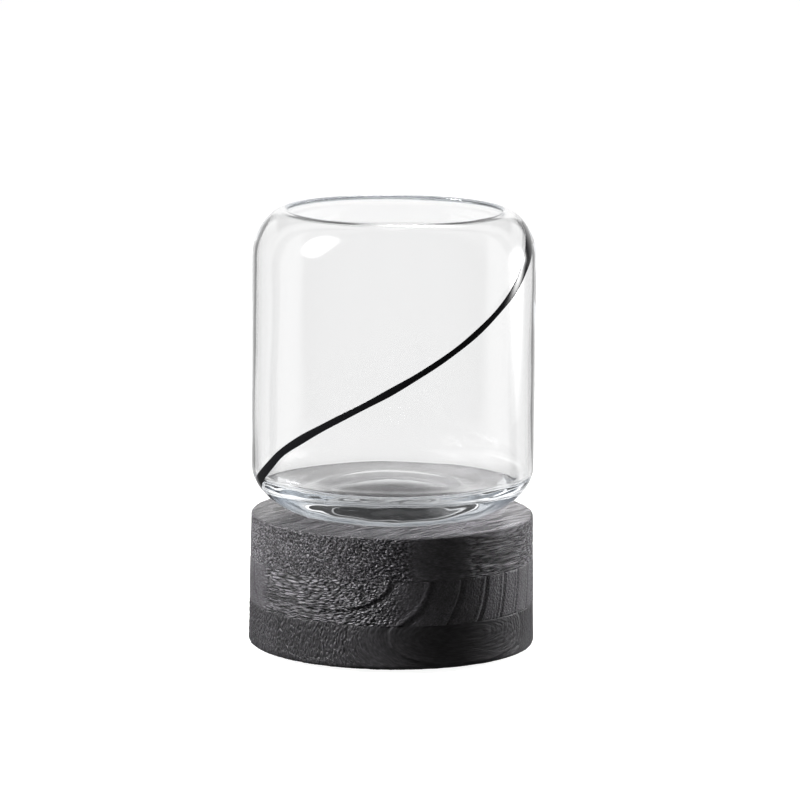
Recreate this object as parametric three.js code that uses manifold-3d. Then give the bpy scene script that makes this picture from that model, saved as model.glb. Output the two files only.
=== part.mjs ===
// Glass vase standing on a turned drum of three glued boards.
// Millimetres, +Z up, front towards -Y, origin at the centre of the plane that the pads stand on.

import * as THREE from 'three';
import { mergeVertices } from 'three/addons/utils/BufferGeometryUtils.js';
import Module from 'manifold-3d';

// Wooden drum: boards of one thickness, glued face to face. Its top edge lines up with the vessel's
// wall, and its foot edge stands out by the flare.
const BOARDS = ['base_bottom_board', 'base_middle_board', 'base_top_board'];
const BOARD_THICKNESS = 22;
const DRUM_FLARE = 1;
const DRUM_TOP_ROUNDING = 1.2;
const DRUM_FOOT_ROUNDING = 2.2;

// Rubber pads under the drum
const PAD_COUNT = 4;
const PAD_DIAMETER = 14;
const PAD_THICKNESS = 1.5;
const PAD_CHAMFER = 0.4;
const PAD_INSET = 18;

// Blown vessel: heights are measured from the plane of its foot
const VESSEL_DIAMETER = 141;
const VESSEL_HEIGHT = 152.5;
const WALL_THICKNESS = 3.2;
const FLOOR_THICKNESS = 15.5;
const FLOOR_RISE = 2.5;
const HEEL_WIDTH = 29.2;
const HEEL_HEIGHT = 23.5;
const INNER_HEEL_WIDTH = 8.5;
const INNER_HEEL_HEIGHT = 6.5;
const SHOULDER_WIDTH = 16.2;
const SHOULDER_HEIGHT = 23.5;
const LIP_THICKNESS = 2.4;
const FOOT_RING_WIDTH = 7;
const FOOT_HOLLOW_DEPTH = 3;

// Fullness of the rounded corners: the share of a corner's width or height that its handle reaches
const HEEL_FULLNESS = 0.48;
const SHOULDER_FULLNESS_UP = 0.54;
const SHOULDER_FULLNESS_IN = 0.4;

// Black glass trail from its thick lower end to its upper one: angle in degrees from the front
// towards +X, share of the outline's length from the edge of the foot to the crest of the lip, and width
const TRAIL_ROUTE = [
  [-78, 0.178, 5.6],
  [-68, 0.218, 6],
  [-60, 0.256, 5.1],
  [-51, 0.304, 4.4],
  [-39.5, 0.3525, 3.9],
  [-25.3, 0.4085, 3.5],
  [0.3, 0.508, 3.3],
  [27.6, 0.623, 3],
  [47.6, 0.718, 3.1],
  [59.1, 0.778, 4.2],
  [66, 0.8255, 6],
  [74, 0.877, 6.9],
  [82, 0.917, 5.4],
  [88, 0.937, 3.2],
];
const TRAIL_DEPTH = 1.3;
const TRAIL_TIP_LENGTH = 3.4;
const TRAIL_TIP_WIDTH_SHARE = 0.3;
const TRAIL_SIDE_DEPTH_SHARE = 0.4;
const TRAIL_BELLY_WIDTH_SHARE = 0.6;
const TRAIL_CLEARANCE = 0.3;

// Facets
const ROUND_SEGMENTS = 64;
const PAD_SEGMENTS = 24;
const CORNER_STEPS = 7;
const ROUNDING_STEPS = 3;
const TRAIL_STEPS = 54;
const TIP_STEPS = 5;
const WELD_DISTANCE = 1e-4;

const drumFootLevel = PAD_THICKNESS;
const drumHeight = BOARDS.length * BOARD_THICKNESS;
const vesselLevel = drumFootLevel + drumHeight;
const vesselRadius = VESSEL_DIAMETER / 2;
const footRadius = vesselRadius - HEEL_WIDTH;
const drumTopRadius = vesselRadius;
const drumFootRadius = drumTopRadius + DRUM_FLARE;

const materials = {
  glass: new THREE.MeshStandardMaterial({
    color: 0xf1f5f6,
    roughness: 0.03,
    metalness: 0,
    transparent: true,
    opacity: 0.3,
  }),
  blackGlass: new THREE.MeshStandardMaterial({ color: 0x0a0a0c, roughness: 0.06, metalness: 0 }),
  charredWood: new THREE.MeshStandardMaterial({ color: 0x29272a, roughness: 0.72, metalness: 0 }),
  rubber: new THREE.MeshStandardMaterial({ color: 0x1b1b1c, roughness: 0.9, metalness: 0 }),
};

const wasm = await Module();
wasm.setup();

// A solid turned round the Z axis from an outline of radius and height that runs up from axis to axis
function turned(outline, steps, segments) {
  return new THREE.LatheGeometry(outline.getPoints(steps), segments).rotateX(Math.PI / 2);
}

function withoutFlatTriangles(indices) {
  const kept = [];
  for (let i = 0; i < indices.length; i += 3) {
    const [a, b, c] = indices.slice(i, i + 3);
    if (a !== b && b !== c && c !== a) {
      kept.push(a, b, c);
    }
  }
  return kept;
}

function toSolid(geometry) {
  const bare = geometry.clone();
  bare.deleteAttribute('normal');
  bare.deleteAttribute('uv');
  const merged = mergeVertices(bare, WELD_DISTANCE);
  const vertProperties = new Float32Array(merged.attributes.position.array);
  const triVerts = new Uint32Array(withoutFlatTriangles(Array.from(merged.index.array)));
  return new wasm.Manifold(new wasm.Mesh({ numProp: 3, vertProperties, triVerts }));
}

function toGeometry(solid) {
  const { vertProperties, triVerts } = solid.getMesh();
  const geometry = new THREE.BufferGeometry();
  geometry.setAttribute('position', new THREE.Float32BufferAttribute(vertProperties, 3));
  geometry.setIndex(Array.from(triVerts));
  geometry.computeVertexNormals();
  return geometry;
}

// Drum radius at a height above its foot
function drumRadius(height) {
  return THREE.MathUtils.lerp(drumFootRadius, drumTopRadius, height / drumHeight);
}

// One board of the drum between two heights, with its outer edges rounded where a radius is given
function board(bottom, top, footRounding, topRounding) {
  const outline = new THREE.Path();
  outline.moveTo(0, bottom);
  outline.lineTo(drumRadius(bottom) - footRounding, bottom);
  if (footRounding > 0) {
    const start = drumRadius(bottom);
    outline.quadraticCurveTo(start, bottom, drumRadius(bottom + footRounding), bottom + footRounding);
  }
  outline.lineTo(drumRadius(top - topRounding), top - topRounding);
  if (topRounding > 0) {
    outline.quadraticCurveTo(drumRadius(top), top, drumRadius(top) - topRounding, top);
  }
  outline.lineTo(0, top);
  return turned(outline, ROUNDING_STEPS, ROUND_SEGMENTS);
}

function pad() {
  const radius = PAD_DIAMETER / 2;
  const outline = new THREE.Path();
  outline.moveTo(0, 0);
  outline.lineTo(radius - PAD_CHAMFER, 0);
  outline.lineTo(radius, PAD_CHAMFER);
  outline.lineTo(radius, PAD_THICKNESS);
  outline.lineTo(0, PAD_THICKNESS);
  return turned(outline, 1, PAD_SEGMENTS);
}

// The vessel's outside from the edge of the foot up to the crest of the lip
function addOutside(path) {
  const wallBottom = HEEL_HEIGHT;
  const wallTop = VESSEL_HEIGHT - SHOULDER_HEIGHT;
  const crest = vesselRadius - SHOULDER_WIDTH;
  path.bezierCurveTo(
    footRadius + HEEL_FULLNESS * HEEL_WIDTH, 0,
    vesselRadius, wallBottom - HEEL_FULLNESS * HEEL_HEIGHT,
    vesselRadius, wallBottom,
  );
  path.lineTo(vesselRadius, wallTop);
  path.bezierCurveTo(
    vesselRadius, wallTop + SHOULDER_FULLNESS_UP * SHOULDER_HEIGHT,
    crest + SHOULDER_FULLNESS_IN * SHOULDER_WIDTH, VESSEL_HEIGHT,
    crest, VESSEL_HEIGHT,
  );
}

// The lip and the vessel's inside, from the crest of the lip down to the middle of the domed floor
function addInside(path) {
  const crest = vesselRadius - SHOULDER_WIDTH;
  const lipRadius = LIP_THICKNESS / 2;
  const innerRadius = vesselRadius - WALL_THICKNESS;
  const underLip = VESSEL_HEIGHT - LIP_THICKNESS;
  const wallTop = VESSEL_HEIGHT - SHOULDER_HEIGHT;
  const wallBottom = FLOOR_THICKNESS + INNER_HEEL_HEIGHT;
  const floorEdge = innerRadius - INNER_HEEL_WIDTH;
  path.absarc(crest, VESSEL_HEIGHT - lipRadius, lipRadius, Math.PI / 2, 3 * Math.PI / 2, false);
  path.bezierCurveTo(
    crest + SHOULDER_FULLNESS_IN * (innerRadius - crest), underLip,
    innerRadius, wallTop + SHOULDER_FULLNESS_UP * (underLip - wallTop),
    innerRadius, wallTop,
  );
  path.lineTo(innerRadius, wallBottom);
  path.bezierCurveTo(
    innerRadius, wallBottom - HEEL_FULLNESS * INNER_HEEL_HEIGHT,
    floorEdge + HEEL_FULLNESS * INNER_HEEL_WIDTH, FLOOR_THICKNESS,
    floorEdge, FLOOR_THICKNESS,
  );
  const floorTop = FLOOR_THICKNESS + FLOOR_RISE;
  path.bezierCurveTo(floorEdge / 2, FLOOR_THICKNESS, floorEdge / 2, floorTop, 0, floorTop);
}

function vesselBody() {
  const hollowEdge = footRadius - FOOT_RING_WIDTH;
  const outline = new THREE.Path();
  outline.moveTo(0, FOOT_HOLLOW_DEPTH);
  outline.quadraticCurveTo(hollowEdge / 2, FOOT_HOLLOW_DEPTH, hollowEdge, 0);
  outline.lineTo(footRadius, 0);
  addOutside(outline);
  addInside(outline);
  return turned(outline, CORNER_STEPS, ROUND_SEGMENTS);
}

// The line that the trail follows on the unrolled outside: x runs round the wall, y is the length
// along the outline and z the trail's width
function trailLine(outsideLength) {
  return new THREE.CatmullRomCurve3(TRAIL_ROUTE.map(([degrees, share, width]) => new THREE.Vector3(
    THREE.MathUtils.degToRad(degrees) * vesselRadius,
    share * outsideLength,
    width,
  )));
}

// Lengths along the trail at which it gets a section, closer together in its rounded tips
function trailStations(length) {
  const tip = [];
  for (let k = 0; k < TIP_STEPS; k += 1) {
    tip.push(TRAIL_TIP_LENGTH * (1 - Math.cos(Math.PI / 2 * k / TIP_STEPS)));
  }
  const body = [];
  for (let k = 0; k <= TRAIL_STEPS; k += 1) {
    body.push(THREE.MathUtils.lerp(TRAIL_TIP_LENGTH, length - TRAIL_TIP_LENGTH, k / TRAIL_STEPS));
  }
  return [...tip, ...body, ...tip.map((d) => length - d).reverse()];
}

// Section of the trail, across it and outwards from the glass: flush on top, rounded underneath
function trailSection(width, depth, rise) {
  const half = width / 2;
  const belly = TRAIL_BELLY_WIDTH_SHARE * half;
  const side = TRAIL_SIDE_DEPTH_SHARE * depth;
  return [
    [-half, rise],
    [-half, -side],
    [-belly, -depth],
    [belly, -depth],
    [half, -side],
    [half, rise],
  ];
}

// A closed skin over sections of equal count, one after the other, with flat ends
function loft(sections) {
  const count = sections[0].length;
  const positions = sections.flat().flatMap((p) => p.toArray());
  const indices = [];
  for (let i = 0; i + 1 < sections.length; i += 1) {
    for (let k = 0; k < count; k += 1) {
      const a = i * count + k;
      const b = i * count + (k + 1) % count;
      indices.push(a, b, b + count, a, b + count, a + count);
    }
  }
  const last = (sections.length - 1) * count;
  for (let k = 1; k + 1 < count; k += 1) {
    indices.push(0, k + 1, k);
    indices.push(last, last + k, last + k + 1);
  }
  const geometry = new THREE.BufferGeometry();
  geometry.setAttribute('position', new THREE.Float32BufferAttribute(positions, 3));
  geometry.setIndex(indices);
  geometry.computeVertexNormals();
  return geometry;
}

// The trail itself with no margin and no rise, or with both the tool that cuts its bed
function trail(margin, rise) {
  const outside = new THREE.Path();
  outside.moveTo(footRadius, 0);
  addOutside(outside);
  const outsideLength = outside.getLength();
  const line = trailLine(outsideLength);
  const length = line.getLength();

  // A point that lies outwards from the glass by a height, at a place on the unrolled outside
  const lift = (place, height) => {
    const share = place.y / outsideLength;
    const spot = outside.getPoint(share);
    const up = outside.getTangent(share);
    const angle = place.x / vesselRadius;
    const ring = new THREE.Vector3(Math.sin(angle), -Math.cos(angle), 0);
    const outward = ring.clone().multiplyScalar(up.y).setZ(-up.x);
    return ring.multiplyScalar(spot.x).setZ(spot.y).addScaledVector(outward, height);
  };

  const stations = trailStations(length);
  const sections = stations.map((along, i) => {
    const share = along / length;
    const middle = line.getPointAt(share);
    const forward = line.getTangentAt(share).setZ(0).normalize();
    const across = new THREE.Vector3(-forward.y, forward.x, 0);
    const fromEnd = Math.min(along, length - along, TRAIL_TIP_LENGTH) / TRAIL_TIP_LENGTH;
    const rounded = Math.max(TRAIL_TIP_WIDTH_SHARE, Math.sqrt(1 - (1 - fromEnd) ** 2));
    const overrun = margin * (Number(i === stations.length - 1) - Number(i === 0));
    const section = trailSection(middle.z * rounded + 2 * margin, TRAIL_DEPTH + margin, rise);
    return section.map(([a, o]) => lift(
      middle.clone().addScaledVector(across, a).addScaledVector(forward, overrun),
      o,
    ));
  });
  return loft(sections);
}

function glassVessel() {
  const bed = toSolid(trail(TRAIL_CLEARANCE, TRAIL_CLEARANCE));
  return toGeometry(toSolid(vesselBody()).subtract(bed));
}

function named(name, geometry, material) {
  const mesh = new THREE.Mesh(geometry, material);
  mesh.name = name;
  return mesh;
}

function woodenBase() {
  const base = new THREE.Group();
  const drum = new THREE.Group();
  drum.position.z = drumFootLevel;
  BOARDS.forEach((name, i) => {
    const footRounding = i === 0 ? DRUM_FOOT_ROUNDING : 0;
    const topRounding = i === BOARDS.length - 1 ? DRUM_TOP_ROUNDING : 0;
    const bottom = i * BOARD_THICKNESS;
    const solid = board(bottom, bottom + BOARD_THICKNESS, footRounding, topRounding);
    drum.add(named(name, solid, materials.charredWood));
  });
  base.add(drum);
  const padCircle = drumFootRadius - PAD_INSET;
  for (let i = 0; i < PAD_COUNT; i += 1) {
    const angle = 2 * Math.PI * (i + 0.5) / PAD_COUNT;
    const mesh = named(`foot_pad_${i + 1}`, pad(), materials.rubber);
    mesh.position.set(padCircle * Math.cos(angle), padCircle * Math.sin(angle), 0);
    base.add(mesh);
  }
  return base;
}

function vessel() {
  const group = new THREE.Group();
  group.position.z = vesselLevel;
  group.add(named('glass_vessel', glassVessel(), materials.glass));
  group.add(named('black_glass_trail', trail(0, 0), materials.blackGlass));
  return group;
}

const vase = new THREE.Group();
vase.name = 'glass_vase_with_wooden_base';
vase.add(woodenBase(), vessel());

export default vase;
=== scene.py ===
"""Looks of a clear glass vase with a black glass trail, standing on a drum of charred, brushed boards."""

import math

import bpy
import numpy as np
from mathutils import Euler, Matrix, Vector


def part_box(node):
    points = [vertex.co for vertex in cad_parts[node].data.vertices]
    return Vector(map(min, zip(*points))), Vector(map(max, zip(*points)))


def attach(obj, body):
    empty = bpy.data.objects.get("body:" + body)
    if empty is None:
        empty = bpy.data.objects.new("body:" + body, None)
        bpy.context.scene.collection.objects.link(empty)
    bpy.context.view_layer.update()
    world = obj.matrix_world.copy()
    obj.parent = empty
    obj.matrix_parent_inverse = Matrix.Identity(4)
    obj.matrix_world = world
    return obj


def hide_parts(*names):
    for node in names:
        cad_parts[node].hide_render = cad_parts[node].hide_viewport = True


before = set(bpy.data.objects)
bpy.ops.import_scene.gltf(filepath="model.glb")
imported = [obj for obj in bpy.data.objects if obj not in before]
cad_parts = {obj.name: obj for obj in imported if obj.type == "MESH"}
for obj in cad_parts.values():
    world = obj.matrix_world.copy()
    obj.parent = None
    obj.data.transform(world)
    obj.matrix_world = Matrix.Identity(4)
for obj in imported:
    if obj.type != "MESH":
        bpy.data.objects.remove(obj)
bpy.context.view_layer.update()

MM = 0.001
WHITE = (1, 1, 1, 1)

# Camera, from the photograph's ellipses and outline
CAMERA_DISTANCE = 2.421
CAMERA_HEIGHT = 0.5264
CAMERA_ASIDE = 0.0034
CAMERA_PITCH = math.radians(9.44)
CAMERA_ROLL = math.radians(0.55)
CAMERA_LENS = 221.6
CAMERA_SENSOR = 36
CAMERA_CLIP_END = 100

# Bounces of light, enough for rays that run inside the wall from face to face
BOUNCES = 160

# Vessel: the outer size comes from the CAD node, these are its corners and thicknesses
HEEL_WIDTH = 29.2 * MM
HEEL_HEIGHT = 23.5 * MM
HEEL_FULLNESS = 0.48
SHOULDER_WIDTH = 16.2 * MM
SHOULDER_HEIGHT = 23.5 * MM
SHOULDER_FULLNESS_UP = 0.54
SHOULDER_FULLNESS_IN = 0.4
LIP_THICKNESS = 2.4 * MM
WALL_THICKNESS = 3.2 * MM
FLOOR_THICKNESS = 15.5 * MM
FLOOR_RISE = 2.5 * MM
INNER_HEEL_WIDTH = 8.5 * MM
INNER_HEEL_HEIGHT = 6.5 * MM
FOOT_RING_WIDTH = 7 * MM
FOOT_HOLLOW_DEPTH = 3 * MM
VESSEL_SEGMENTS = 256
CURVE_STEPS = 40

# Unevenness of the blown walls, and the lengths over which it fades to the foot and to the axis
OUTER_WAVE = 0.06 * MM
INNER_WAVE = 0.3 * MM
HEEL_WAVE = 0.12 * MM
FOOT_FADE = 10 * MM
AXIS_FADE = 25 * MM

# Swells of the walls: share, times round, climb over the span in radians, and start
SWELL_SPAN = 100 * MM
SWELLS = [
    (0.4, 2, 3.1, 0.4),
    (0.3, 3, -5.3, 2.1),
    (0.2, 5, 7.7, 4.0),
    (0.1, 9, -11, 1.3),
]

# Ripples of the heel: times round, climb over the heel in radians, and start
HEEL_RIPPLES = [(13, 9, 1), (21, -14, 0)]

# Trail from its lower end to its upper one: angle in degrees from the front towards +X, share of the
# vessel's outside from the edge of the foot to the crest of the lip, and width
TRAIL_ROUTE = [
    (-78, 0.178, 5.6 * MM),
    (-68, 0.218, 6 * MM),
    (-60, 0.256, 5.1 * MM),
    (-51, 0.304, 4.4 * MM),
    (-39.5, 0.3525, 3.9 * MM),
    (-25.3, 0.4085, 3.5 * MM),
    (0.3, 0.508, 3.3 * MM),
    (27.6, 0.623, 3 * MM),
    (47.6, 0.718, 3.5 * MM),
    (59.1, 0.778, 5.2 * MM),
    (66, 0.8255, 7.2 * MM),
    (74, 0.877, 8.4 * MM),
    (82, 0.917, 6.8 * MM),
    (88, 0.937, 4 * MM),
]
TRAIL_DEPTH = 1.3 * MM
TRAIL_PROUD = 0.12 * MM
TRAIL_TIP_LENGTH = 3.4 * MM
TRAIL_TIP_LEAST = 0.02
TRAIL_STEPS = 24
TRAIL_TIP_STEPS = 12
TRAIL_BODY_STEPS = 280
TRAIL_SIDES = 20
TRAIL_OUTLINE_STEPS = 200

# Uneven width of the trail: share of the width, times along it in radians, and start
TRAIL_WOBBLE = [(0.05, 31, 0), (0.04, 57, 1)]

# Drum and pads
DRUM_TOP_ROUNDING = 1.2 * MM
DRUM_FOOT_ROUNDING = 2.2 * MM
ROUNDING_STEPS = 6
FACE_CELLS = 220
TOP_SIDE_CELL = 0.48 * MM
SIDE_COLUMNS = 1200
SIDE_CELL = 0.37 * MM
FIRST_COLUMN = -math.pi / 4
PAD_EDGE = 0.4 * MM
PAD_INNER_SHARE = 0.5
PAD_COLUMNS = 48

# Figure of each board, in millimetres and degrees. Both grain angles are from the front towards +X. The
# growth rings lie round a pith that runs along "grain", across it and above the board's top by the given
# lengths; the fibres run along "fibre_grain". A fibre is long along the grain, thin across the rings and
# wide along them. "brushed" has pairs of how squarely the side cuts the fibres, from -1 at their far ends
# over 0 along them to 1 at their near ends, and the share of the fibres' relief there. For the colour,
# "contrast" spreads the heights of the fibres, "ring_colour" is how far the rings darken the wood and
# "tone" is its level.
BOARD_FIGURES = {
    "base_top_board": {
        "grain": -38,
        "fibre_grain": -38,
        "pith_across": 80,
        "pith_above": 20,
        "fibre": (38, 1.15, 1.5),
        "brushed": [(-1, 0.7), (0.3, 0.6), (0.38, 0.12), (0.66, 0.12), (0.76, 1)],
        "ring_relief": 0.25,
        "fibre_relief": 1.2,
        "contrast": 2.6,
        "ring_colour": 0.3,
        "tone": 1.6,
        "seed": 11,
    },
    "base_middle_board": {
        "grain": 61,
        "fibre_grain": 42,
        "pith_across": -78,
        "pith_above": 0,
        "fibre": (8, 1.25, 1.4),
        "brushed": [(-0.26, 0.1), (-0.16, 1), (0.6, 0.9), (0.83, 0.1)],
        "ring_relief": 0.9,
        "fibre_relief": 1.8,
        "contrast": 3,
        "ring_colour": 0.6,
        "tone": 1.6,
        "seed": 23,
    },
    "base_bottom_board": {
        "grain": -58,
        "fibre_grain": -58,
        "pith_across": 76,
        "pith_above": -5.3,
        "fibre": (12, 1.0, 3),
        "brushed": [(0.3, 0.12), (0.4, 0.08), (0.62, 0.08), (0.8, 0.6)],
        "ring_relief": 0.4,
        "fibre_relief": 0.8,
        "contrast": 1,
        "ring_colour": 0.4,
        "tone": 0.7,
        "seed": 37,
    },
}

# Growth rings: the profile has pairs of the share of a ring and the height there. The pith wanders by the
# warp, slowly, and the distance from it by the wave, quickly; a cell is along the grain, across it and up.
RING_SPACING = 12.6
RING_PROFILE = [(0, 1), (0.05, 0), (0.12, 0.05), (0.25, 0.5), (0.85, 0.6), (1, 1)]
RING_OFFSET = 0.8
RING_WARP = 2.2
WARP_CELL = (45, 22, 22)
WARP_SHIFT = 40.5
FIBRE_WAVE = 0.8
WAVE_CELL = (9, 5, 5)

# Bumps of the brushed fibres: a coarse and a fine set, and the height of a flat spot
PEBBLE_STEEPNESS = 1.6
PEBBLE_POWER = 0.7
COARSE_SHARE = 0.75
FINE_SHARE = 0.25
FINE_SCALE = 1.9
FINE_SHIFT = 5.5
FINE_SEED = 9
FLAT_BUMP = 0.45

# Relief of the boards in millimetres, and how the top face differs from the side
MEAN_DEPTH = 0.2
PROUD = 0.1
SEAM_DEPTH = 0.12
SEAM_WIDTH = 0.4
FACE_RELIEF_SHARE = 0.2
FACE_TONE = 0.55
FACE_ROUGHNESS = 0.55
# Painted caustic: how much lighter the top face's colour gets towards +X, standing in for light that the
# glass focuses there
FACE_PAINTED_CAUSTIC = 0.5

# Clear glass, with a ground underside
GLASS_IOR = 1.5
GLASS_TINT = {"Color": (0.77, 0.81, 0.85, 1), "Density": 4}
GLASS_NOISE = {"Scale": 45, "Detail": 1}
GLASS_BUMP = {"Strength": 0.12, "Distance": 0.2 * MM}
GROUND_ROUGHNESS = 0.12

# Black glass
BLACK_COLOUR = (0.006, 0.006, 0.007, 1)
BLACK_NOISE = {"Scale": 160, "Detail": 2}
BLACK_BUMP = {"Strength": 0.2, "Distance": 0.1 * MM}
BLACK_ROUGHNESS = [(0.3, 0.04), (0.75, 0.16)]

# Charred wood: what the mesh's relief and the fine streaks give to the height that sets its colour
WOOD_STREAKS = {"Scale": 1.6, "Detail": 3, "Roughness": 0.6}
WOOD_GRAINS = {"Scale": 1.25}
WOOD_PATCHES = {"Scale": 0.06, "Detail": 2}
WOOD_RELIEF_SHARE = 0.6
WOOD_STREAK_SHARE = 0.55
WOOD_COLOURS = [
    (0.25, (0.008, 0.008, 0.0085)),
    (0.5, (0.05, 0.048, 0.052)),
    (0.8, (0.135, 0.129, 0.14)),
]
WOOD_CLOUDS = [(0.3, 0.8), (0.7, 1.15)]
WOOD_ROUGHNESS = [(0.25, 0.65), (0.75, 0.3)]
WOOD_BUMP_DISTANCE = 1.1 * MM
WOOD_BUMP_SMOOTH = 0.12

# Rubber
RUBBER_NOISE = {"Scale": 900, "Detail": 2}
RUBBER_BUMP = {"Strength": 0.3, "Distance": 0.05 * MM}
RUBBER_COLOURS = [(0.3, 0.008), (0.7, 0.016)]
RUBBER_ROUGHNESS = [(0.3, 0.75), (0.7, 0.95)]

# Room as gloss and matt surfaces meet it. A pair says how far a direction points along an axis where a
# level begins to change, and where it has changed.
ROOM_FRONT = 0.07
ROOM_BACK = 1.0
ROOM_ON_MATT = 0.5
GLOSS_BEHIND = (0.7, 0.98)

# Room as glass walls mirror it: flags round it, dark in front, and a darker band high up behind. The flags
# come from a wave round the room.
FLAG_COUNT = 8
FLAG_WAVE = (-0.95, -0.5)
FLAG_LEVEL = 0.1
FRONT_LEVEL = 0.1
NEAR_BEHIND = (-0.3, 0.1)
BAND_FOOT = (0.25, 0.35)
BAND_TOP = (0.75, 0.85)
BAND_BEHIND = (0.55, 0.65)
BAND_LEVEL = 0.08

# Room as deep glass shows it: dark above and in front, lighter at the sides, with patches for some lamps
DEEP_ROOM = 1.0
DEEP_SIDES = 1.8
DEEP_CEILING = 0.05
DEEP_RISE = (0.21, 0.35)
DEEP_BEHIND = (-0.5, 0.1)
DEEP_ASIDE = (0.25, 0.6)
DEEP_LAMP = 1.6
LAMP_REACH = (0.82, 0.92)

# Kinds of rays: faces of two walls and of one wall, and turns inside the glass of a ray that a wall guides.
# These are counts, so each limit is half a step over the number.
WALL_FACES = 4
ONE_WALL_FACES = 2
GUIDED_TURNS = 16
HALF_STEP = 0.5
GUIDED_LEVEL = 1.0

# Floor: half its width, its greys, and its levels in front of the drum and behind it. The span between
# these is in metres from the axis.
FLOOR_SIZE = 8
FLOOR_GREY = 0.1
FLOOR_GREY_SHOWN = 0.35
FLOOR_GLOW = 0.95
FLOOR_SPAN = (-0.1, 0.1)
DEEP_FLOOR = (0.1, 1.0)
HEEL_FLOOR = (1.8, 0.1)

# Lamps: place, aim, width and height in metres, and power in watts
LAMPS = {
    "key_left": ((-1.015, -0.305, 0.9), (0, 0, 0.12), (0.7, 1.2), 42),
    "strip_right": ((0.68, 0.3, 0.19), (0, 0, 0.2), (0.5, 0.5), 2.8),
    "fill_right": ((0.66, 0.34, 0.25), (0, 0, 0.2), (0.34, 0.5), 8),
    "top_back": ((0.15, 0.6, 1.4), (0, 0, 0.12), (1.2, 0.7), 8),
}
LAMPS_IN_GLASS = ("key_left", "strip_right")
LAMPS_ON_MATT = ("fill_right",)

# Mean over a lamp's width of the fall towards its edges
LAMP_MEAN = 13 / 35

# Sockets of a mix node for numbers and for colours: factor, first and second value
MIX_NUMBERS = (0, 2, 3)
MIX_COLOURS = (0, 6, 7)
MIXED_COLOUR = 2

# Hash of the noise: a factor for each coordinate and the seed, then shifts and factors that stir the bits
HASH_FACTORS = (374761393, 668265263, 1440670441, 974634777)
HASH_STIRS = ((13, 1274126177), (15, 2246822519))
HASH_LAST_SHIFT = 16
HASH_MASK = 0xFFFFFFFF
HASH_TOP = 0xFFFFFF


# Lines and meshes
def bezier(p0, p1, p2, p3, steps):
    """Points of a cubic curve after its first one."""
    t = np.linspace(0, 1, steps + 1)[1:, None]
    p0, p1, p2, p3 = (np.array(p, float) for p in (p0, p1, p2, p3))
    return (1 - t) ** 3 * p0 + 3 * (1 - t) ** 2 * t * p1 + 3 * (1 - t) * t**2 * p2 + t**3 * p3


def line(p0, p1, steps):
    """Points of a straight line after its first one."""
    t = np.linspace(0, 1, steps + 1)[1:, None]
    return np.array(p0, float) * (1 - t) + np.array(p1, float) * t


def smooth_line(points, steps):
    """A line through all points that bends evenly, with a number of steps from each to the next."""
    p = np.concatenate([[2 * points[0] - points[1]], points, [2 * points[-1] - points[-2]]])
    gap = np.sqrt(np.linalg.norm(np.diff(p, axis=0), axis=1))[:, None]
    pull = np.diff(p, axis=0) / gap
    tangent = pull[:-1] - (p[2:] - p[:-2]) / (gap[:-1] + gap[1:]) + pull[1:]
    start = (tangent[:-1] * gap[1:-1])[:, None]
    end = (tangent[1:] * gap[1:-1])[:, None]
    a = points[:-1, None]
    b = points[1:, None]
    t = np.linspace(0, 1, steps, endpoint=False)[None, :, None]
    curve = (
        (2 * t**3 - 3 * t**2 + 1) * a
        + (t**3 - 2 * t**2 + t) * start
        + (3 * t**2 - 2 * t**3) * b
        + (t**3 - t**2) * end
    )
    return np.concatenate([curve.reshape(-1, points.shape[1]), points[-1:]])


def run_along(points):
    """Length from the first point to each point of a line."""
    return np.concatenate([[0], np.cumsum(np.linalg.norm(np.diff(points, axis=0), axis=1))])


def grid_faces(rows, columns):
    """Quads between rows of points that close on themselves, each row after the one below it."""
    i, j = np.meshgrid(np.arange(rows - 1), np.arange(columns), indexing="ij")
    a = i * columns + j
    b = i * columns + (j + 1) % columns
    return np.stack([a, b, b + columns, a + columns], -1).reshape(-1, 4).tolist()


def fan(centre, first, columns, upward):
    """Triangles from a centre to a closed row of points, facing up or down."""
    pairs = [(first + j, first + (j + 1) % columns) for j in range(columns)]
    return [(centre, a, b) if upward else (centre, b, a) for a, b in pairs]


def end_caps(rows, columns):
    """Two faces that close the first and the last row of a grid."""
    last = (rows - 1) * columns
    return [list(range(columns - 1, -1, -1)), list(range(last, last + columns))]


def add_mesh(name, vertices, faces, material, smooth=True):
    mesh = bpy.data.meshes.new(name)
    mesh.from_pydata([tuple(v) for v in vertices], [], [tuple(f) for f in faces])
    mesh.validate()
    mesh.polygons.foreach_set("use_smooth", [smooth] * len(mesh.polygons))
    mesh.materials.append(material)
    piece = bpy.data.objects.new(name, mesh)
    bpy.context.scene.collection.objects.link(piece)
    return piece


def store(piece, name, values):
    """Gives each point of a mesh a number or a vector that its material can read."""
    kind, field = ("FLOAT_VECTOR", "vector") if values.ndim == 2 else ("FLOAT", "value")
    attribute = piece.data.attributes.new(name, kind, "POINT")
    attribute.data.foreach_set(field, np.ascontiguousarray(values, np.float32).ravel())


def dress(piece, body, cad_node):
    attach(piece, body)
    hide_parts(cad_node)


# Noise that is the same on every run
def lattice(ix, iy, iz, seed):
    """A number from 0 to 1 for each lattice point."""
    h = sum(part * factor for part, factor in zip((ix, iy, iz, seed), HASH_FACTORS)) & HASH_MASK
    for shift, factor in HASH_STIRS:
        h = ((h ^ (h >> shift)) * factor) & HASH_MASK
    return ((h ^ (h >> HASH_LAST_SHIFT)) & HASH_TOP) / HASH_TOP


def soft_noise(points, seed):
    """Smooth noise from 0 to 1, with one lattice cell per unit."""
    cell = np.floor(points).astype(np.int64)
    part = points - cell
    ease = part * part * (3 - 2 * part)
    total = np.zeros(len(points))
    for corner in np.ndindex(2, 2, 2):
        share = np.where(np.array(corner, bool), ease, 1 - ease).prod(-1)
        total += share * lattice(*(cell + corner).T, seed)
    return total


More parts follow.
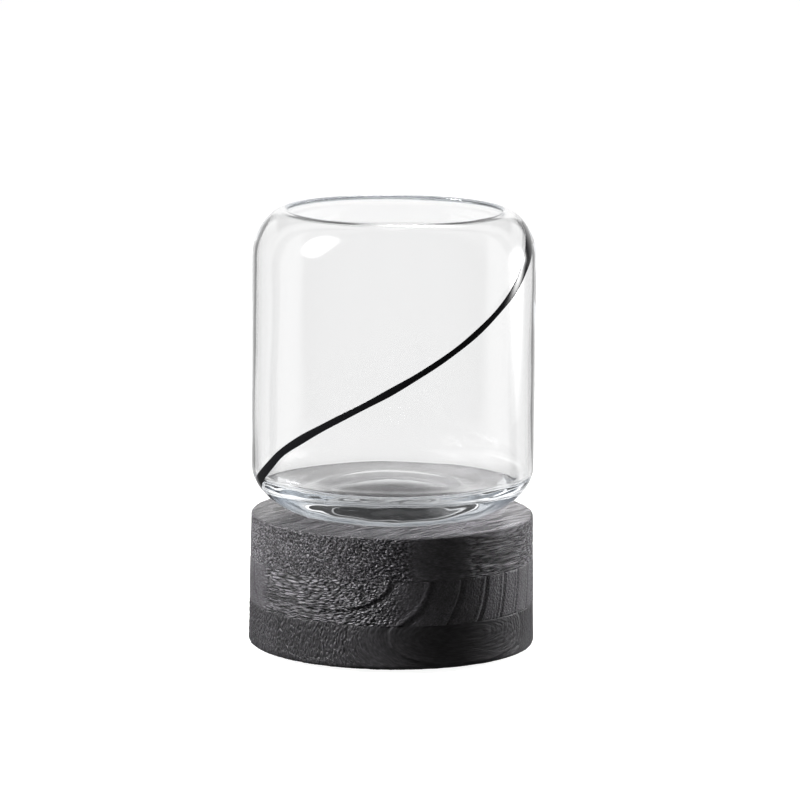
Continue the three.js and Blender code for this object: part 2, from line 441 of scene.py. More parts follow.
def pebbles(points, seed):
    """Rounded bumps from 0 to 1, one about each random spot of a lattice with one spot per unit."""
    cell = np.floor(points).astype(np.int64)
    nearest = np.full(len(points), np.inf)
    second = np.full(len(points), np.inf)
    for step in np.ndindex(3, 3, 3):
        other = cell + np.array(step) - 1
        spot = np.stack([lattice(*other.T, seed + k) for k in range(3)], -1)
        gap = np.linalg.norm(other + spot - points, axis=-1)
        second = np.minimum(second, np.maximum(gap, nearest))
        nearest = np.minimum(nearest, gap)
    return np.clip((second - nearest) * PEBBLE_STEEPNESS, 0, 1) ** PEBBLE_POWER


# Shader helpers
def new_material(name):
    material = bpy.data.materials.new(name)
    material.use_nodes = True
    tree = material.node_tree
    return material, tree, tree.nodes["Principled BSDF"]


def node(tree, kind, inputs=None, **settings):
    """A node with its settings, and with the given inputs set by name."""
    made = tree.nodes.new(kind)
    for key, value in settings.items():
        setattr(made, key, value)
    for socket, value in (inputs or {}).items():
        made.inputs[socket].default_value = value
    return made


def feed(tree, socket, value):
    """Links an input to another node's output, or sets it to a number."""
    if isinstance(value, bpy.types.NodeSocket):
        tree.links.new(value, socket)
    else:
        socket.default_value = value


def math_node(tree, operation, *values):
    made = node(tree, "ShaderNodeMath", operation=operation)
    for socket, value in zip(made.inputs, values):
        feed(tree, socket, value)
    return made.outputs[0]


def product(tree, *values):
    """All values multiplied, from the first to the last."""
    total = values[0]
    for value in values[1:]:
        total = math_node(tree, "MULTIPLY", total, value)
    return total


def mix_values(tree, factor, a, b):
    """The first value where the factor is 0, the second where it is 1."""
    made = node(tree, "ShaderNodeMix", data_type="FLOAT")
    for place, value in zip(MIX_NUMBERS, (factor, a, b)):
        feed(tree, made.inputs[place], value)
    return made.outputs[0]


def multiply_colours(tree, a, b):
    made = node(tree, "ShaderNodeMix", data_type="RGBA", blend_type="MULTIPLY")
    for place, value in zip(MIX_COLOURS, (1, a, b)):
        feed(tree, made.inputs[place], value)
    return made.outputs[MIXED_COLOUR]


def mix_shaders(tree, factor, a, b):
    made = node(tree, "ShaderNodeMixShader")
    for socket, value in zip(made.inputs, (factor, a, b)):
        tree.links.new(value, socket)
    return made.outputs[0]


def map_range(tree, source, span, levels):
    """Goes smoothly from the first level to the last while the source crosses the span."""
    made = node(tree, "ShaderNodeMapRange", interpolation_type="SMOOTHSTEP")
    for name, value in zip(("From Min", "From Max", "To Min", "To Max"), (*span, *levels)):
        made.inputs[name].default_value = value
    tree.links.new(source, made.inputs["Value"])
    return made.outputs[0]


def ramp(tree, source, stops):
    """A colour ramp over a source socket. A stop is (place, grey) or (place, (r, g, b))."""
    made = node(tree, "ShaderNodeValToRGB")
    elements = made.color_ramp.elements
    while len(elements) < len(stops):
        elements.new(0.5)
    for element, (place, colour) in zip(elements, stops):
        element.position = place
        rgb = (colour,) * 3 if np.isscalar(colour) else colour
        element.color = (*rgb, 1)
    tree.links.new(source, made.inputs[0])
    return made.outputs[0]


def attribute(tree, name, output="Fac"):
    """A value that the mesh carries."""
    return node(tree, "ShaderNodeAttribute", attribute_name=name).outputs[output]


def texture(tree, kind, where, inputs, output=0):
    made = node(tree, kind, inputs)
    tree.links.new(where, made.inputs["Vector"])
    return made.outputs[output]


def noise_bump(tree, shader, noise, bump):
    """Fine noise over a piece as a bump. Returns the noise."""
    place = node(tree, "ShaderNodeTexCoord").outputs["Object"]
    height = texture(tree, "ShaderNodeTexNoise", place, noise)
    raised = node(tree, "ShaderNodeBump", bump)
    tree.links.new(height, raised.inputs["Height"])
    tree.links.new(raised.outputs[0], shader.inputs["Normal"])
    return height


def split(tree, vector):
    """X, Y and Z of a vector."""
    made = node(tree, "ShaderNodeSeparateXYZ")
    tree.links.new(vector, made.inputs[0])
    return made.outputs


# Materials
def clear_glass():
    material, tree, shader = new_material("clear_glass")
    shader.inputs["Base Color"].default_value = WHITE
    shader.inputs["IOR"].default_value = GLASS_IOR
    shader.inputs["Transmission Weight"].default_value = 1
    roughness = product(tree, attribute(tree, "ground"), GROUND_ROUGHNESS)
    tree.links.new(roughness, shader.inputs["Roughness"])
    absorb = node(tree, "ShaderNodeVolumeAbsorption", GLASS_TINT)
    output = tree.nodes["Material Output"]
    tree.links.new(absorb.outputs[0], output.inputs["Volume"])
    noise_bump(tree, shader, GLASS_NOISE, GLASS_BUMP)
    return material


def black_glass():
    material, tree, shader = new_material("black_glass")
    shader.inputs["Base Color"].default_value = BLACK_COLOUR
    shader.inputs["IOR"].default_value = GLASS_IOR
    streaks = noise_bump(tree, shader, BLACK_NOISE, BLACK_BUMP)
    roughness = ramp(tree, streaks, BLACK_ROUGHNESS)
    tree.links.new(roughness, shader.inputs["Roughness"])
    return material


def charred_wood():
    """Reads the fibre coordinates and the relief that the boards' meshes carry."""
    material, tree, shader = new_material("charred_wood")
    link = tree.links.new
    fibre = attribute(tree, "fibre", "Vector")
    upright = attribute(tree, "upright")
    streaks = texture(tree, "ShaderNodeTexNoise", fibre, WOOD_STREAKS)
    grains = texture(tree, "ShaderNodeTexVoronoi", fibre, WOOD_GRAINS, "Distance")
    patches = texture(tree, "ShaderNodeTexNoise", fibre, WOOD_PATCHES)

    height = product(tree, attribute(tree, "relief"), WOOD_RELIEF_SHARE)
    raised = math_node(tree, "ADD", height, product(tree, streaks, WOOD_STREAK_SHARE))
    # The tone read here also carries the painted caustic, which lightens the top face towards +X.
    side_tone = product(tree, ramp(tree, patches, WOOD_CLOUDS), attribute(tree, "tone"))
    face_tone = product(tree, side_tone, FACE_TONE)
    tone = mix_values(tree, upright, face_tone, side_tone)
    link(multiply_colours(tree, ramp(tree, raised, WOOD_COLOURS), tone), shader.inputs["Base Color"])

    side_rough = ramp(tree, raised, WOOD_ROUGHNESS)
    face_rough = product(tree, side_rough, FACE_ROUGHNESS)
    link(mix_values(tree, upright, face_rough, side_rough), shader.inputs["Roughness"])

    bump = node(tree, "ShaderNodeBump", {"Distance": WOOD_BUMP_DISTANCE})
    link(mix_values(tree, attribute(tree, "brushed"), WOOD_BUMP_SMOOTH, 1), bump.inputs["Strength"])
    link(math_node(tree, "SUBTRACT", streaks, grains), bump.inputs["Height"])
    link(bump.outputs[0], shader.inputs["Normal"])
    return material


def pad_rubber():
    material, tree, shader = new_material("pad_rubber")
    speckle = noise_bump(tree, shader, RUBBER_NOISE, RUBBER_BUMP)
    tree.links.new(ramp(tree, speckle, RUBBER_COLOURS), shader.inputs["Base Color"])
    tree.links.new(ramp(tree, speckle, RUBBER_ROUGHNESS), shader.inputs["Roughness"])
    return material


# Vessel
def vessel_sizes():
    low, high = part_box("glass_vessel")
    return {"radius": (high.x - low.x) / 2, "foot": low.z, "rim": high.z}


def outside_outline(size, steps=CURVE_STEPS):
    """Radius and height from the edge of the foot to the crest of the lip."""
    radius, foot, rim = size["radius"], size["foot"], size["rim"]
    edge = radius - HEEL_WIDTH
    crest = radius - SHOULDER_WIDTH
    wall_bottom = foot + HEEL_HEIGHT
    wall_top = rim - SHOULDER_HEIGHT
    heel = bezier(
        (edge, foot),
        (edge + HEEL_FULLNESS * HEEL_WIDTH, foot),
        (radius, wall_bottom - HEEL_FULLNESS * HEEL_HEIGHT),
        (radius, wall_bottom),
        steps,
    )
    wall = line((radius, wall_bottom), (radius, wall_top), steps)
    shoulder = bezier(
        (radius, wall_top),
        (radius, wall_top + SHOULDER_FULLNESS_UP * SHOULDER_HEIGHT),
        (crest + SHOULDER_FULLNESS_IN * SHOULDER_WIDTH, rim),
        (crest, rim),
        steps,
    )
    return np.concatenate([[(edge, foot)], heel, wall, shoulder])


def inside_outline(size, steps=CURVE_STEPS):
    """Radius and height from the crest of the lip, round it and down to near the middle of the floor."""
    radius, foot, rim = size["radius"], size["foot"], size["rim"]
    crest = radius - SHOULDER_WIDTH
    inner = radius - WALL_THICKNESS
    under_lip = rim - LIP_THICKNESS
    wall_top = rim - SHOULDER_HEIGHT
    floor = foot + FLOOR_THICKNESS
    wall_bottom = floor + INNER_HEEL_HEIGHT
    floor_edge = inner - INNER_HEEL_WIDTH
    turn = np.linspace(math.pi / 2, 3 * math.pi / 2, steps // 2 + 1)[1:]
    lip_radius = LIP_THICKNESS / 2
    lip = np.stack([crest + lip_radius * np.cos(turn), rim - lip_radius + lip_radius * np.sin(turn)], -1)
    shoulder = bezier(
        (crest, under_lip),
        (crest + SHOULDER_FULLNESS_IN * (inner - crest), under_lip),
        (inner, wall_top + SHOULDER_FULLNESS_UP * (under_lip - wall_top)),
        (inner, wall_top),
        steps,
    )
    wall = line((inner, wall_top), (inner, wall_bottom), steps)
    heel = bezier(
        (inner, wall_bottom),
        (inner, wall_bottom - HEEL_FULLNESS * INNER_HEEL_HEIGHT),
        (floor_edge + HEEL_FULLNESS * INNER_HEEL_WIDTH, floor),
        (floor_edge, floor),
        steps,
    )
    domed = line((floor_edge, floor), (0, floor), steps)[:-1]
    domed[:, 1] += FLOOR_RISE * (1 + np.cos(math.pi * domed[:, 0] / floor_edge)) / 2
    return np.concatenate([lip, shoulder, wall, heel, domed])


def foot_outline(size, steps=CURVE_STEPS // 2):
    """Radius and height from near the middle of the underside to the inner edge of the foot ring."""
    ring = size["radius"] - HEEL_WIDTH - FOOT_RING_WIDTH
    share = np.linspace(0, 1, steps + 1)[1:]
    return np.stack([ring * share, size["foot"] + FOOT_HOLLOW_DEPTH * (1 - share**2)], -1)


def swells(angle, height):
    """Slow swells of a blown wall, from about -1 to 1."""
    h = height / SWELL_SPAN
    return sum(share * np.sin(times * angle + climb * h + start) for share, times, climb, start in SWELLS)


def unevenness(outline, first_outside, first_inside, foot_level, angle):
    """How far the surface moves along its normal at each row and angle. It only moves into the glass."""
    over_foot = outline[:, 1] - foot_level
    depth = np.zeros(len(outline))
    depth[first_outside:first_inside] = OUTER_WAVE
    depth[first_inside:] = INNER_WAVE
    clear_of_foot = np.clip(over_foot / FOOT_FADE, 0, 1)
    clear_of_axis = np.clip(outline[:, 0] / AXIS_FADE, 0, 1)
    depth = (depth * clear_of_foot * clear_of_axis)[:, None]
    shift = depth * (swells(angle[None], outline[:, 1:]) - 1) / 2

    up_heel = np.clip(over_foot / HEEL_HEIGHT, 0, 1)[:, None]
    up_heel[:first_outside] = 0
    up_heel[first_inside:] = 0
    ripple = sum(np.sin(times * angle + climb * up_heel + start) for times, climb, start in HEEL_RIPPLES)
    count = len(HEEL_RIPPLES)
    return shift - HEEL_WAVE * np.sin(math.pi * up_heel) * (ripple + count) / (2 * count)


def make_vessel(material):
    size = vessel_sizes()
    foot = foot_outline(size)
    outside = outside_outline(size)
    outline = np.concatenate([foot, outside, inside_outline(size)])
    along = np.gradient(outline, axis=0)
    along /= np.linalg.norm(along, axis=1)[:, None]
    normal = np.stack([along[:, 1], -along[:, 0]], -1)
    angle = np.linspace(0, 2 * math.pi, VESSEL_SEGMENTS, endpoint=False)
    shift = unevenness(outline, len(foot), len(foot) + len(outside), size["foot"], angle)
    radius = outline[:, :1] + shift * normal[:, :1]
    height = outline[:, 1:] + shift * normal[:, 1:]

    ring_points = np.stack([radius * np.cos(angle), radius * np.sin(angle), height], -1).reshape(-1, 3)
    under = (0, 0, size["foot"] + FOOT_HOLLOW_DEPTH)
    floor = (0, 0, size["foot"] + FLOOR_THICKNESS + FLOOR_RISE)
    vertices = np.concatenate([ring_points, [under, floor]])
    last = (len(outline) - 1) * VESSEL_SEGMENTS
    faces = grid_faces(len(outline), VESSEL_SEGMENTS)
    faces += fan(len(ring_points), 0, VESSEL_SEGMENTS, upward=False)
    faces += fan(len(ring_points) + 1, last, VESSEL_SEGMENTS, upward=True)
    piece = add_mesh("vessel_glass", vertices, faces, material)
    piece.visible_shadow = False
    ground = np.zeros(len(vertices))
    ground[: len(foot) * VESSEL_SEGMENTS] = 1
    ground[len(ring_points)] = 1
    store(piece, "ground", ground)
    dress(piece, "vase", "glass_vessel")


# Trail
def trail_route(outside_length, radius):
    """Length along the trail, and way round the wall, length up the outline and width, unrolled."""
    route = np.array(TRAIL_ROUTE)
    route[:, 0] = np.radians(route[:, 0]) * radius
    route[:, 1] *= outside_length
    fine = smooth_line(route, TRAIL_STEPS)
    run = run_along(fine[:, :2])
    turn = np.linspace(0, math.pi / 2, TRAIL_TIP_STEPS, endpoint=False)
    tip = TRAIL_TIP_LENGTH * (1 - np.cos(turn))
    body = np.linspace(TRAIL_TIP_LENGTH, run[-1] - TRAIL_TIP_LENGTH, TRAIL_BODY_STEPS)
    stations = np.concatenate([tip, body, run[-1] - tip[::-1]])
    return stations, np.stack([np.interp(stations, run, column) for column in fine.T], -1)


def trail_girth(stations, width):
    """Half the width along the trail, and how full it is there: 1, or less at the rounded tips."""
    from_end = np.minimum(stations, stations[-1] - stations)
    left = 1 - np.clip(from_end / TRAIL_TIP_LENGTH, 0, 1)
    full = np.sqrt(np.clip(1 - left**2, TRAIL_TIP_LEAST, 1))
    share = stations / stations[-1]
    wobble = 1
    for part, times, start in TRAIL_WOBBLE:
        wobble = wobble + part * np.sin(share * times + start)
    return width / 2 * full * wobble, full


def make_trail(material):
    size = vessel_sizes()
    outside = outside_outline(size, TRAIL_OUTLINE_STEPS)
    along = run_along(outside)
    slope = np.gradient(outside, along, axis=0)
    stations, route = trail_route(along[-1], size["radius"])
    half, full = trail_girth(stations, route[:, 2])
    forward = np.gradient(route[:, :2], axis=0)
    forward /= np.linalg.norm(forward, axis=1)[:, None]
    across = np.stack([-forward[:, 1], forward[:, 0]], -1)

    turn = np.linspace(0, 2 * math.pi, TRAIL_SIDES, endpoint=False)
    rise = np.where(np.sin(turn) > 0, TRAIL_PROUD, TRAIL_DEPTH) * np.sin(turn)
    place = route[:, None, :2] + across[:, None] * (half[:, None] * np.cos(turn))[..., None]
    height = (full[:, None] * rise).ravel()
    round_way, up_way = place.reshape(-1, 2).T
    angle = round_way / size["radius"]
    radius, level = (np.interp(up_way, along, column) for column in outside.T)
    up_r, up_z = (np.interp(up_way, along, column) for column in slope.T)
    radius = radius + height * up_z
    vertices = np.stack([radius * np.sin(angle), -radius * np.cos(angle), level - height * up_r], -1)
    faces = grid_faces(len(route), TRAIL_SIDES) + end_caps(len(route), TRAIL_SIDES)
    piece = add_mesh("trail_black_glass", vertices, faces, material)
    dress(piece, "vase", "black_glass_trail")


# Boards
def drum_sizes():
    foot_low, foot_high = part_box("base_bottom_board")
    return {
        "foot": foot_low.z,
        "top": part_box("base_top_board")[1].z,
        "foot_radius": (foot_high.x - foot_low.x) / 2,
        "top_radius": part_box("glass_vessel")[1].x,
    }


def drum_radius(drum, z):
    """Radius of the drum's straight side at a height."""
    narrowing = drum["top_radius"] - drum["foot_radius"]
    return drum["foot_radius"] + narrowing * (z - drum["foot"]) / (drum["top"] - drum["foot"])


def rounded_edge(drum, level, rounding, way):
    """Points from the side over a rounded edge to the face above, with way 1, or below, with way -1."""
    middle = drum_radius(drum, level) - rounding
    points = []
    for t in np.linspace(0, math.pi / 2, ROUNDING_STEPS)[1:]:
        out, up = math.cos(t), way * math.sin(t)
        points.append((middle + rounding * out, level + rounding * up, out, up))
    return points


def board_outline(drum, low, high, foot_rounding, top_rounding):
    """Radius, height and outward direction up the side of a board."""
    cell = TOP_SIDE_CELL if top_rounding else SIDE_CELL
    rows = max(2, round((high - low) / cell))
    heights = np.linspace(low + foot_rounding, high - top_rounding, rows)
    points = [(drum_radius(drum, z), z, 1, 0) for z in heights]
    if foot_rounding:
        points = rounded_edge(drum, low + foot_rounding, foot_rounding, -1)[::-1] + points
    if top_rounding:
        points += rounded_edge(drum, high - top_rounding, top_rounding, 1)
    return np.array(points)


def rows_round(radius, height, columns):
    """Points of closed rows round the axis, one row for each radius and height."""
    angle = np.linspace(0, 2 * math.pi, columns, endpoint=False) + FIRST_COLUMN
    around = np.stack([np.cos(angle), np.sin(angle)], -1)
    level = np.repeat(height, columns).reshape(len(height), columns, 1)
    return np.concatenate([radius[:, None, None] * around[None], level], -1).reshape(-1, 3)


def disc_grid(cells):
    """Points of a unit disc from a square grid, whose border has equal angles."""
    steps = np.linspace(-1, 1, cells + 1)
    a, b = np.meshgrid(steps, steps, indexing="ij")
    wide = np.abs(a) > np.abs(b)
    safe_a = np.where(a == 0, 1, a)
    safe_b = np.where(b == 0, 1, b)
    r = np.where(wide, a, b)
    turn = np.where(wide, math.pi / 4 * b / safe_a, math.pi / 2 - math.pi / 4 * a / safe_b)
    turn = np.where((a == 0) & (b == 0), 0, turn)
    return np.stack([r * np.cos(turn), r * np.sin(turn)], -1).reshape(-1, 2)


def disc_border(cells):
    """Indices of the grid's border, anticlockwise from the corner at -45 degrees."""
    right = [(cells, j) for j in range(cells)]
    top = [(i, cells) for i in range(cells, 0, -1)]
    left = [(0, j) for j in range(cells, 0, -1)]
    bottom = [(i, 0) for i in range(cells)]
    return [i * (cells + 1) + j for i, j in right + top + left + bottom]


def top_face(radius, level, rim, start):
    """Points inside a round face, numbered from the start, and the quads that join them and the rim."""
    disc = disc_grid(FACE_CELLS) * radius
    border = disc_border(FACE_CELLS)
    inner = np.setdiff1d(np.arange(len(disc)), border)
    index = np.zeros(len(disc), int)
    index[border] = rim
    index[inner] = start + np.arange(len(inner))
    line_length = FACE_CELLS + 1
    i, j = np.meshgrid(np.arange(FACE_CELLS), np.arange(FACE_CELLS), indexing="ij")
    corner = (i * line_length + j).ravel()
    quads = np.stack([corner, corner + line_length, corner + line_length + 1, corner + 1], -1)
    return np.column_stack([disc[inner], np.full(len(inner), level)]), index[quads].tolist()


def board_mesh(name, drum, foot_rounding, top_rounding):
    """Points, outward directions and faces of a smooth board. Only one with a rounded top shows its face."""
    low, high = (corner.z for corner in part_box(name))
    outline = board_outline(drum, low, high, foot_rounding, top_rounding)
    columns = 4 * FACE_CELLS if top_rounding else SIDE_COLUMNS
    side = rows_round(outline[:, 0], outline[:, 1], columns)
    outward = rows_round(outline[:, 2], outline[:, 3], columns)
    faces = grid_faces(len(outline), columns)
    last = (len(outline) - 1) * columns
    if top_rounding:
        face, quads = top_face(outline[-1, 0], high, last + np.arange(columns), len(side))
        face_outward = np.tile((0, 0, 1), (len(face), 1))
        faces += quads
    else:
        face = [(0, 0, high)]
        face_outward = [(0, 0, 0)]
        faces += fan(len(side), last, columns, upward=True)
    points = np.concatenate([side, face, [(0, 0, low)]])
    outward = np.concatenate([outward, face_outward, [(0, 0, 0)]])
    faces += fan(len(points) - 1, 0, columns, upward=False)
    return points, outward, faces


def about_pith(p, grain, figure):
    """Lengths along the pith, out from it and round it, with the pith at the grain's angle."""
    seed = figure["seed"]
    angle = math.radians(grain)
    along = p[:, 0] * math.sin(angle) - p[:, 1] * math.cos(angle)
    over = p[:, 0] * math.cos(angle) + p[:, 1] * math.sin(angle)
    up = p[:, 2]
    place = np.stack([along, over, up], -1)
    slow = place / WARP_CELL
    over = over + (soft_noise(slow, seed) - 0.5) * 2 * RING_WARP - figure["pith_across"]
    up = up + (soft_noise(slow + WARP_SHIFT, seed + 1) - 0.5) * 2 * RING_WARP - figure["pith_above"]
    distance = np.hypot(over, up) + (soft_noise(place / WAVE_CELL, seed + 2) - 0.5) * FIBRE_WAVE
    return along, distance, np.arctan2(up, np.abs(over)) * distance


def figure_of(points, name):
    """Fibre coordinates, height of the growth rings and height of the fibres, each height from 0 to 1."""
    figure = BOARD_FIGURES[name]
    seed = figure["seed"]
    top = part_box(name)[1].z
    p = (points - np.array((0, 0, top))) / MM
    _, from_pith, _ = about_pith(p, figure["grain"], figure)
    ring = np.interp((from_pith / RING_SPACING + RING_OFFSET) % 1, *zip(*RING_PROFILE))
    along, distance, arc = about_pith(p, figure["fibre_grain"], figure)
    length, thickness, width = figure["fibre"]
    fibre = np.stack([along / length + seed, distance / thickness, arc / width], -1)
    fine = pebbles(fibre * FINE_SCALE + FINE_SHIFT, seed + FINE_SEED)
    return fibre, ring, COARSE_SHARE * pebbles(fibre, seed) + FINE_SHARE * fine


def board_relief(name, drum, points, outward):
    """How deep each point of a board is carved, in millimetres, and what its material reads there."""
    figure = BOARD_FIGURES[name]
    low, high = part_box(name)
    fibre, ring, bumps = figure_of(points, name)
    upright = np.linalg.norm(outward[:, :2], axis=1)
    grain = math.radians(figure["fibre_grain"])
    squarely = outward @ (math.sin(grain), -math.cos(grain), 0)
    brushed = np.interp(squarely, *zip(*figure["brushed"]))
    bumps = FLAT_BUMP + (bumps - FLAT_BUMP) * (brushed * upright + 1 - upright)

    depth = figure["ring_relief"] * (1 - ring) + figure["fibre_relief"] * (1 - bumps)
    share = FACE_RELIEF_SHARE + (1 - FACE_RELIEF_SHARE) * upright
    depth = np.maximum(share * (depth - depth.mean()) + MEAN_DEPTH, -PROUD)
    to_seam = np.minimum(points[:, 2] - low.z, high.z - points[:, 2]) / MM
    depth += SEAM_DEPTH * upright * np.exp(-((to_seam / SEAM_WIDTH) ** 2))

    worn = np.clip(FLAT_BUMP + (bumps - FLAT_BUMP) * figure["contrast"], 0, 1)
    ring_colour = figure["ring_colour"]
    # Painted caustic: the top face's colour gets lighter towards +X, standing in for light focused through
    # the glass. It rides in the tone that the material reads.
    painted_caustic = 1 + FACE_PAINTED_CAUSTIC * (1 - upright) * points[:, 0] / drum["top_radius"]
    return depth, {
        "fibre": fibre,
        "relief": worn * (1 - ring_colour + ring_colour * np.sqrt(ring)),
        "tone": figure["tone"] * painted_caustic,
        "upright": upright,
        "brushed": brushed * upright,
    }


def make_board(name, material, foot_rounding=0, top_rounding=0):
    drum = drum_sizes()
    points, outward, faces = board_mesh(name, drum, foot_rounding, top_rounding)
    depth, read = board_relief(name, drum, points, outward)
    carved = points - outward * depth[:, None] * MM
    piece = add_mesh(name + "_charred", carved, faces, material)
    for key, values in read.items():
        store(piece, key, values)
    dress(piece, "base", name)


# Pads
def make_pad(name, material):
    low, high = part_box(name)
    centre = (low + high) / 2
    radius = (high.x - low.x) / 2
    middle = radius - PAD_EDGE
    level = low.z + PAD_EDGE
    outline = [(radius * PAD_INNER_SHARE, low.z)]
    for t in np.linspace(-math.pi / 2, 0, ROUNDING_STEPS):
        outline.append((middle + PAD_EDGE * math.cos(t), level + PAD_EDGE * math.sin(t)))
    outline = np.array(outline + [(radius, high.z)])
    angle = np.linspace(0, 2 * math.pi, PAD_COLUMNS, endpoint=False)
    across = centre.x + outline[:, :1] * np.cos(angle)
    back = centre.y + outline[:, :1] * np.sin(angle)
    up = np.repeat(outline[:, 1:], PAD_COLUMNS, 1)
    vertices = np.stack([across, back, up], -1).reshape(-1, 3)
    faces = grid_faces(len(outline), PAD_COLUMNS) + end_caps(len(outline), PAD_COLUMNS)
    piece = add_mesh(name + "_rubber", vertices, faces, material)
    dress(piece, "base", name)


# Studio
def ray_kinds(tree):
    """Sockets that are 1 for one kind of ray and 0 for others: straight from the camera, from a matt or a
    glossy surface, through glass, after no more glass than two walls or one wall, mirrored, and guided."""
    path = node(tree, "ShaderNodeLightPath").outputs
    turns = math_node(tree, "SUBTRACT", path["Ray Depth"], path["Transmission Depth"])
    return {
        "camera": path["Is Camera Ray"],
        "matt": path["Is Diffuse Ray"],
        "glossy": path["Is Glossy Ray"],
        "through": path["Is Transmission Ray"],
        "few": math_node(tree, "LESS_THAN", path["Ray Depth"], WALL_FACES + HALF_STEP),
        "one_wall": math_node(tree, "LESS_THAN", path["Transmission Depth"], ONE_WALL_FACES + HALF_STEP),
        "mirrored": math_node(tree, "GREATER_THAN", turns, HALF_STEP),
        "guided": math_node(tree, "GREATER_THAN", turns, GUIDED_TURNS + HALF_STEP),
    }


def room_levels(tree, rays, direction, near, deep):
    """Levels of the room in a direction. As glass shows it, it is white with darker flags round it, or the
    deep level after many faces; as gloss shows it, it is dark in front and white behind."""
    flat = node(tree, "ShaderNodeVectorMath", operation="MULTIPLY")
    flat.inputs[1].default_value = (1, 1, 0)
    tree.links.new(direction, flat.inputs[0])
    unit = node(tree, "ShaderNodeVectorMath", operation="NORMALIZE")
    tree.links.new(flat.outputs[0], unit.inputs[0])
    aside, back, _ = split(tree, unit.outputs[0])
    angle = math_node(tree, "ARCTAN2", aside, back)
    wave = math_node(tree, "COSINE", product(tree, angle, FLAG_COUNT))
    flags = map_range(tree, wave, FLAG_WAVE, (FLAG_LEVEL, 1))
    behind = map_range(tree, back, NEAR_BEHIND, (FRONT_LEVEL, 1))
    mirrored = mix_values(tree, rays["mirrored"], 1, product(tree, flags, near, behind))
    far = mix_values(tree, rays["guided"], deep, GUIDED_LEVEL)
    in_glass = mix_values(tree, rays["few"], far, mirrored)
    in_gloss = map_range(tree, back, GLOSS_BEHIND, (ROOM_FRONT, ROOM_BACK))
    return in_glass, in_gloss


def seen_level(tree, rays, in_glass, in_gloss, straight):
    """The level that a ray meets: straight from the camera, through glass, or from any other surface."""
    return mix_values(tree, rays["camera"], mix_values(tree, rays["through"], in_gloss, in_glass), straight)


def near_room(tree, direction):
    """Level of the room for rays that glass walls mirror, with its darker band."""
    _, back, up = split(tree, direction)
    above = map_range(tree, up, BAND_FOOT, (0, 1))
    below = map_range(tree, up, BAND_TOP, (1, 0))
    behind = map_range(tree, back, BAND_BEHIND, (0, 1))
    return mix_values(tree, product(tree, above, below, behind), 1, BAND_LEVEL)


def deep_room(tree, direction):
    """Level of the room for rays that have met more glass than two walls."""
    aside, back, up = split(tree, direction)
    rise = map_range(tree, up, DEEP_RISE, (DEEP_ROOM, DEEP_CEILING))
    behind = map_range(tree, back, DEEP_BEHIND, (FRONT_LEVEL, 1))
    sides = map_range(tree, math_node(tree, "ABSOLUTE", aside), DEEP_ASIDE, (1, DEEP_SIDES))
    level = product(tree, rise, behind, sides)
    for name in LAMPS_IN_GLASS:
        place = np.array(LAMPS[name][0])
        toward = node(tree, "ShaderNodeVectorMath", operation="DOT_PRODUCT")
        toward.inputs[1].default_value = place / np.linalg.norm(place)
        tree.links.new(direction, toward.inputs[0])
        patch = map_range(tree, toward.outputs["Value"], LAMP_REACH, (0, DEEP_LAMP))
        level = math_node(tree, "MAXIMUM", level, patch)
    return level


def make_world():
    world = bpy.data.worlds.new("studio")
    bpy.context.scene.world = world
    world.use_nodes = True
    tree = world.node_tree
    tree.nodes.clear()
    rays = ray_kinds(tree)
    direction = node(tree, "ShaderNodeTexCoord").outputs["Generated"]
    near = near_room(tree, direction)
    deep = deep_room(tree, direction)
    in_glass, in_gloss = room_levels(tree, rays, direction, near, deep)
    in_gloss = product(tree, in_gloss, mix_values(tree, rays["matt"], 1, ROOM_ON_MATT))
    light = node(tree, "ShaderNodeBackground", {"Color": WHITE})
    tree.links.new(seen_level(tree, rays, in_glass, in_gloss, 1), light.inputs["Strength"])
    output = node(tree, "ShaderNodeOutputWorld")
    tree.links.new(light.outputs[0], output.inputs[0])


def floor_glow(tree, rays):
    """Light of the floor itself, so that glass and gloss meet it as part of the room."""
    place = node(tree, "ShaderNodeNewGeometry").outputs["Position"]
    back = split(tree, place)[1]
    heel_floor = map_range(tree, back, FLOOR_SPAN, HEEL_FLOOR)
    deep_floor = map_range(tree, back, FLOOR_SPAN, DEEP_FLOOR)
    deep = mix_values(tree, rays["one_wall"], deep_floor, heel_floor)
    in_glass, in_gloss = room_levels(tree, rays, place, 1, deep)
    in_gloss = product(tree, in_gloss, rays["glossy"])
    glow = node(tree, "ShaderNodeEmission", {"Color": WHITE})
    tree.links.new(seen_level(tree, rays, in_glass, in_gloss, FLOOR_GLOW), glow.inputs["Strength"])
    return glow.outputs[0]


def matt_grey(tree, level):
    return node(tree, "ShaderNodeBsdfDiffuse", {"Color": (level, level, level, 1)}).outputs[0]


def pale_floor():
    material = bpy.data.materials.new("pale_floor")
    material.use_nodes = True
    tree = material.node_tree
    tree.nodes.clear()
    rays = ray_kinds(tree)
    shown = mix_shaders(tree, rays["camera"], matt_grey(tree, FLOOR_GREY), matt_grey(tree, FLOOR_GREY_SHOWN))
    unlit = math_node(tree, "MAXIMUM", rays["glossy"], rays["through"])
    lit = mix_shaders(tree, unlit, shown, matt_grey(tree, 0))
    both = node(tree, "ShaderNodeAddShader")
    tree.links.new(lit, both.inputs[0])
    tree.links.new(floor_glow(tree, rays), both.inputs[1])
    output = node(tree, "ShaderNodeOutputMaterial")
    tree.links.new(both.outputs[0], output.inputs[0])
    return material


def make_floor():
    corners = [(x * FLOOR_SIZE, y * FLOOR_SIZE, 0) for x, y in ((-1, -1), (1, -1), (1, 1), (-1, 1))]
    floor = add_mesh("floor", corners, [(0, 1, 2, 3)], pale_floor(), smooth=False)


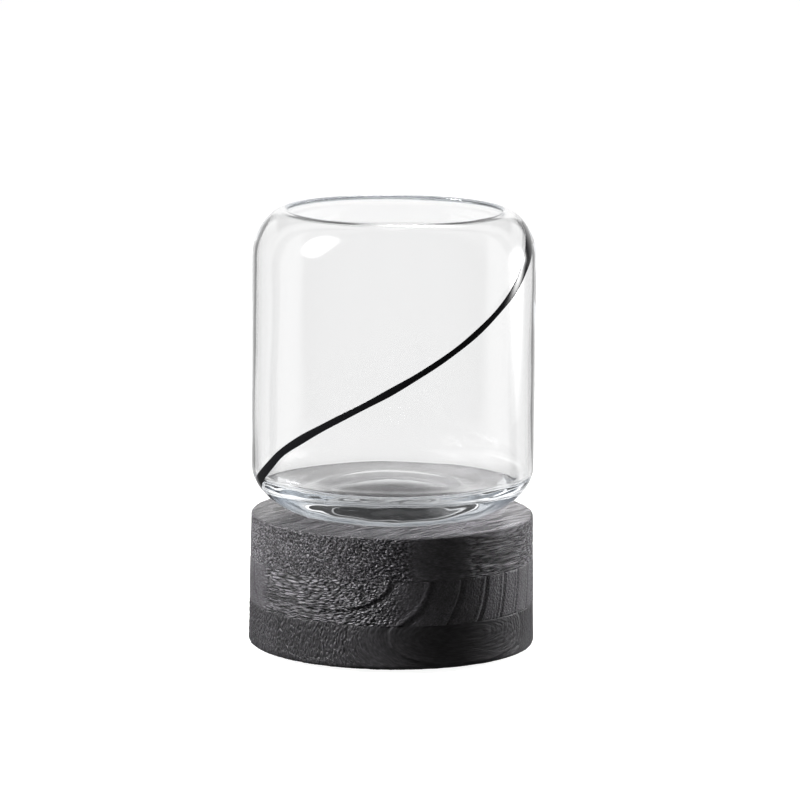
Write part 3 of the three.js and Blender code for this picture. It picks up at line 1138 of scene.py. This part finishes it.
def soft_edges(tree):
    """A level that falls from 1 to 0 towards the edges of a lamp."""
    place = split(tree, node(tree, "ShaderNodeNewGeometry").outputs["Parametric"])
    level = 1
    for axis in (0, 1):
        from_middle = math_node(tree, "ABSOLUTE", math_node(tree, "SUBTRACT", place[axis], 0.5))
        fall = map_range(tree, from_middle, (0, 0.5), (1, 0))
        level = product(tree, fall, fall, level)
    return level


def make_lamp(name, place, aim, size, watts):
    data = bpy.data.lights.new(name, "AREA")
    data.shape = "RECTANGLE"
    data.size, data.size_y = size
    data.energy = watts / LAMP_MEAN**2
    data.use_nodes = True
    tree = data.node_tree
    tree.links.new(soft_edges(tree), tree.nodes["Emission"].inputs["Strength"])
    lamp = bpy.data.objects.new(name, data)
    bpy.context.scene.collection.objects.link(lamp)
    lamp.location = place
    lamp.rotation_euler = (Vector(aim) - Vector(place)).to_track_quat("-Z", "Y").to_euler()
    lamp.visible_camera = False
    lamp.visible_transmission = False
    lamp.visible_glossy = name not in LAMPS_ON_MATT


def make_camera():
    data = bpy.data.cameras.new("camera")
    data.lens = CAMERA_LENS
    data.sensor_width = CAMERA_SENSOR
    data.clip_end = CAMERA_CLIP_END
    camera = bpy.data.objects.new("camera", data)
    bpy.context.scene.collection.objects.link(camera)
    camera.location = (CAMERA_ASIDE, -CAMERA_DISTANCE, CAMERA_HEIGHT)
    look = Euler((math.pi / 2 - CAMERA_PITCH, 0, 0)).to_matrix() @ Matrix.Rotation(CAMERA_ROLL, 3, "Z")
    camera.rotation_euler = look.to_euler()
    bpy.context.scene.camera = camera


def main():
    scene = bpy.context.scene
    scene.view_settings.view_transform = "Standard"
    scene.cycles.max_bounces = BOUNCES
    scene.cycles.glossy_bounces = BOUNCES
    scene.cycles.transmission_bounces = BOUNCES
    make_camera()
    make_world()
    make_floor()
    for name, lamp in LAMPS.items():
        make_lamp(name, *lamp)
    make_vessel(clear_glass())
    make_trail(black_glass())
    wood = charred_wood()
    make_board("base_top_board", wood, top_rounding=DRUM_TOP_ROUNDING)
    make_board("base_middle_board", wood)
    make_board("base_bottom_board", wood, foot_rounding=DRUM_FOOT_ROUNDING)
    rubber = pad_rubber()
    for name in sorted(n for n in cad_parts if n.startswith("foot_pad")):
        make_pad(name, rubber)


main()
